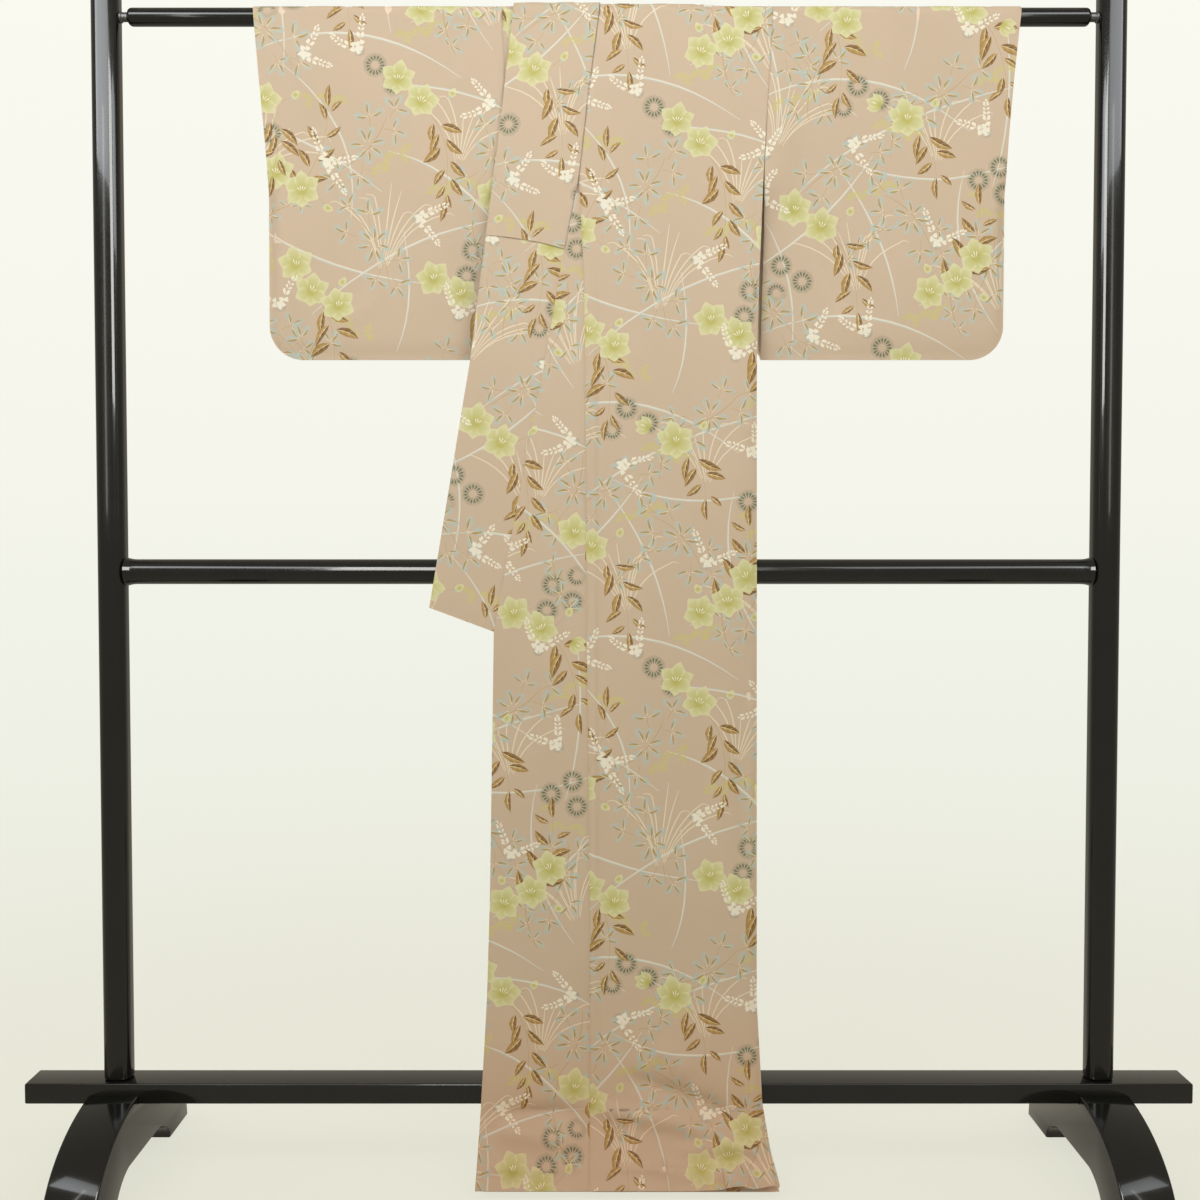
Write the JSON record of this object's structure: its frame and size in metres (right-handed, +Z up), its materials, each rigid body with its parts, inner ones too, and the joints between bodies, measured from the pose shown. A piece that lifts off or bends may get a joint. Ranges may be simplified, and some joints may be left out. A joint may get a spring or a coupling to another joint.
{
  "type": "kimono on a kimono stand",
  "caption": "Silk kimono hung by its shoulders over the rod of a black lacquered kimono stand, left front over right, collar opened wide.",
  "frame": {"origin": "on the floor, under the middle of the stand", "axes": "+Z up, the kimono's front faces -Y, +X is the wearer's left"},
  "size_m": [1.66, 0.4, 1.722],
  "materials": {
    "silk": "matt woven silk crepe, dusty pink beige, printed with autumn flowers and grasses",
    "lacquer": "gloss black lacquer on wood",
    "pin": "dark blued steel, satin"
  },
  "bodies": {
    "root": {"body_left": "silk", "body_right": "silk", "okumi_left": "silk", "okumi_right": "silk", "collar_left": "silk", "collar_right": "silk", "over_collar": "silk", "sleeve_left": "silk", "sleeve_right": "silk", "post_left": "lacquer", "post_right": "lacquer", "rod": "lacquer", "middle_rail": "lacquer", "base_beam": "lacquer", "foot_left": "lacquer", "foot_right": "lacquer", "rod_pin_left": "pin", "rod_pin_right": "pin"}
  },
  "joints": []
}
